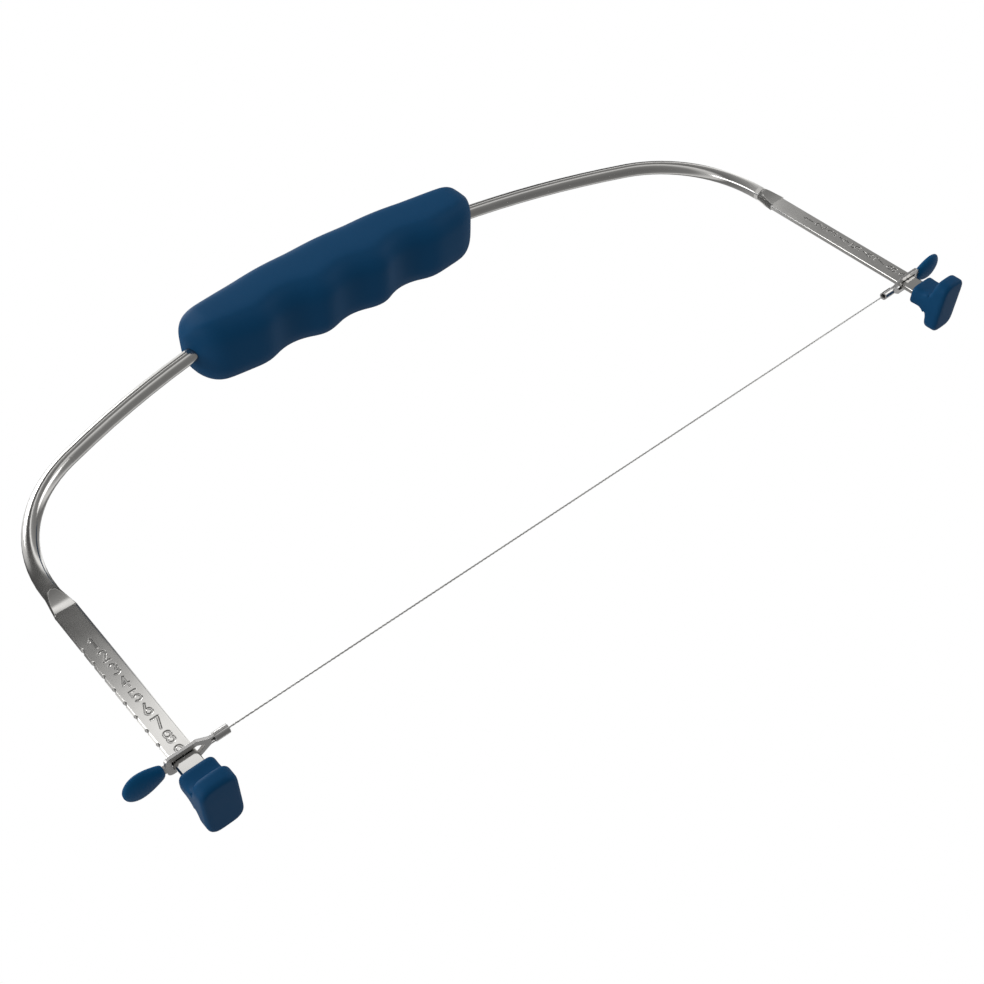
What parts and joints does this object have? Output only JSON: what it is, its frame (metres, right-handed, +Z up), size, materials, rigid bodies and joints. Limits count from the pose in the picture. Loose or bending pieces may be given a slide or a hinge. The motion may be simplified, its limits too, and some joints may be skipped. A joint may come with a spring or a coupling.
{
  "type": "cake leveler",
  "caption": "Bow-shaped wire cake leveler: steel rod bow with numbered, notched legs, moulded finger grip, flat feet and a height-adjustable cutting wire on clips.",
  "frame": {"origin": "middle of the tool at table level, where the feet stand", "axes": "+X along the cutting wire to the right as the numbers are read, +Y to the back, +Z up along the legs"},
  "size_m": [0.3058, 0.0238, 0.1488],
  "materials": {
    "bow_steel": "polished stainless steel rod",
    "clip_steel": "stamped stainless sheet, satin",
    "wire_steel": "thin stranded stainless wire",
    "grip_blue": "matte moulded dark blue",
    "foot_blue": "matte moulded dark blue",
    "tab_blue": "matte moulded dark blue"
  },
  "bodies": {
    "frame": {"bow": "bow_steel", "grip": "grip_blue", "left_foot": "foot_blue", "right_foot": "foot_blue"},
    "wire_carriage": {"left_clip": "clip_steel", "right_clip": "clip_steel", "left_tab": "tab_blue", "right_tab": "tab_blue", "cutting_wire": "wire_steel"}
  },
  "joints": [
    {"name": "wire_height", "type": "slide", "parent": "frame", "child": "wire_carriage", "axis": [0, 0, 1], "range_m": [0, 0.04]}
  ]
}
